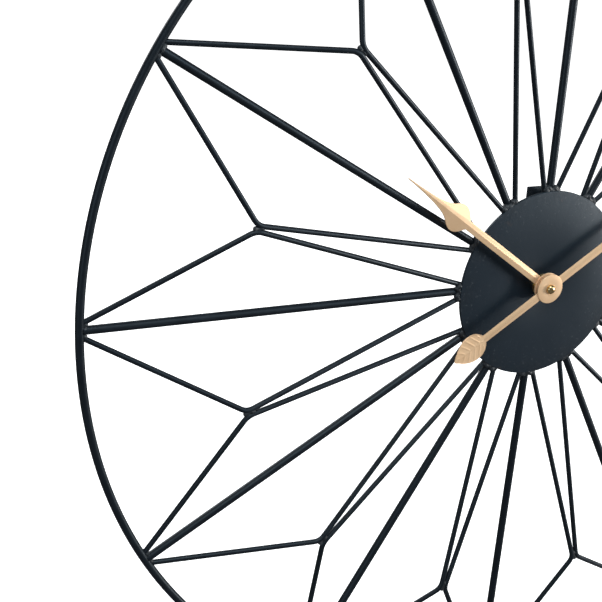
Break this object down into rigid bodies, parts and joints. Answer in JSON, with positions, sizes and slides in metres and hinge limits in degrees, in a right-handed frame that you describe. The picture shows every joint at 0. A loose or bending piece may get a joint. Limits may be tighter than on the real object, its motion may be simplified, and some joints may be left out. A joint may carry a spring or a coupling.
{
  "type": "sunburst wall clock",
  "caption": "Round wire sunburst wall clock: steel ring, straight spokes and bent rays round a hub disc, two spade hands and a battery quartz movement.",
  "frame": {"origin": "point where the axis of the hands meets the wall plane, on the back of the movement", "axes": "+Y into the wall (the clock faces -Y), +Z towards twelve o'clock, +X towards three o'clock"},
  "size_m": [0.5999, 0.0314, 0.6],
  "materials": {
    "black_steel": "satin blue-black lacquer",
    "rose_gold": "satin champagne gold",
    "brass": "polished",
    "bare_steel": "bright",
    "black_rubber": "matt",
    "black_plastic": "fine moulded texture",
    "white_plastic": "moulded",
    "copper_wire": "enamelled wire",
    "circuit_board": "lacquered board",
    "magnet": "sintered",
    "battery_jacket": "printed jacket, plain bands"
  },
  "bodies": {
    "clock_frame": {"outer_ring": "black_steel", "spoke_1": "black_steel", "spoke_2": "black_steel", "spoke_3": "black_steel", "spoke_4": "black_steel", "spoke_5": "black_steel", "spoke_6": "black_steel", "spoke_7": "black_steel", "spoke_8": "black_steel", "spoke_9": "black_steel", "spoke_10": "black_steel", "spoke_11": "black_steel", "spoke_12": "black_steel", "ray_wires_1": "black_steel", "ray_wires_2": "black_steel", "ray_wires_3": "black_steel", "ray_wires_4": "black_steel", "ray_wires_5": "black_steel", "ray_wires_6": "black_steel", "ray_wires_7": "black_steel", "ray_wires_8": "black_steel", "ray_wires_9": "black_steel", "ray_wires_10": "black_steel", "ray_wires_11": "black_steel", "ray_wires_12": "black_steel", "hub_disc": "black_steel", "hanger_bracket": "black_steel", "rubber_gasket": "black_rubber", "fixing_washer": "brass", "fixing_nut": "brass", "threaded_bush": "brass", "movement_case": "black_plastic", "movement_cover": "black_plastic", "mid_plate": "white_plastic", "gear_bridge": "white_plastic", "stator": "bare_steel", "coil_core": "bare_steel", "coil_bobbin": "white_plastic", "coil_winding": "copper_wire", "circuit_board": "circuit_board", "quartz_crystal": "bare_steel", "battery_contact_positive": "bare_steel", "battery_contact_negative": "bare_steel"},
    "minute_body": {"minute_hand": "rose_gold", "cap_nut": "brass", "minute_arbor": "bare_steel"},
    "hour_body": {"hour_hand": "rose_gold", "hour_wheel": "white_plastic"},
    "setting_body": {"minute_wheel": "white_plastic", "setting_knob": "black_plastic"},
    "centre_body": {"centre_wheel": "brass"},
    "third_body": {"third_wheel": "white_plastic"},
    "seconds_body": {"seconds_wheel": "white_plastic"},
    "intermediate_body": {"intermediate_wheel": "white_plastic"},
    "rotor_body": {"rotor": "magnet"},
    "battery_body": {"battery": "battery_jacket"}
  },
  "joints": [
    {"name": "minute_hand_turn", "type": "hinge", "parent": "clock_frame", "child": "minute_body", "pos_m": [0, -0.012, 0], "axis": [0, 1, 0], "continuous": true},
    {"name": "hour_hand_turn", "type": "hinge", "parent": "clock_frame", "child": "hour_body", "pos_m": [0, -0.012, 0], "axis": [0, 1, 0], "continuous": true},
    {"name": "setting_knob_turn", "type": "hinge", "parent": "clock_frame", "child": "setting_body", "pos_m": [0.011, -0.012, 0], "axis": [0, 1, 0], "continuous": true},
    {"name": "rotor_turn", "type": "hinge", "parent": "clock_frame", "child": "rotor_body", "pos_m": [0.00495, -0.012, 0.01095], "axis": [0, 1, 0], "continuous": true},
    {"name": "intermediate_wheel_turn", "type": "hinge", "parent": "clock_frame", "child": "intermediate_body", "pos_m": [0.00495, -0.012, 0.00495], "axis": [0, 1, 0], "continuous": true},
    {"name": "seconds_wheel_turn", "type": "hinge", "parent": "clock_frame", "child": "seconds_body", "pos_m": [0, -0.012, 0], "axis": [0, 1, 0], "continuous": true},
    {"name": "third_wheel_turn", "type": "hinge", "parent": "clock_frame", "child": "third_body", "pos_m": [-0.0092, -0.012, 0.00531], "axis": [0, 1, 0], "continuous": true},
    {"name": "centre_wheel_turn", "type": "hinge", "parent": "clock_frame", "child": "centre_body", "pos_m": [0, -0.012, 0], "axis": [0, 1, 0], "continuous": true},
    {"name": "battery_slide", "type": "slide", "parent": "clock_frame", "child": "battery_body", "axis": [0, 1, 0], "range_m": [0, 0.022]}
  ],
  "couplings": [
    {"joint": "hour_hand_turn", "follows": "minute_hand_turn", "ratio": 0.083333},
    {"joint": "setting_knob_turn", "follows": "minute_hand_turn", "ratio": -0.33333},
    {"joint": "intermediate_wheel_turn", "follows": "rotor_turn", "ratio": -0.2},
    {"joint": "seconds_wheel_turn", "follows": "rotor_turn", "ratio": 0.033333},
    {"joint": "third_wheel_turn", "follows": "rotor_turn", "ratio": -0.0044444},
    {"joint": "centre_wheel_turn", "follows": "rotor_turn", "ratio": 0.00055556}
  ]
}
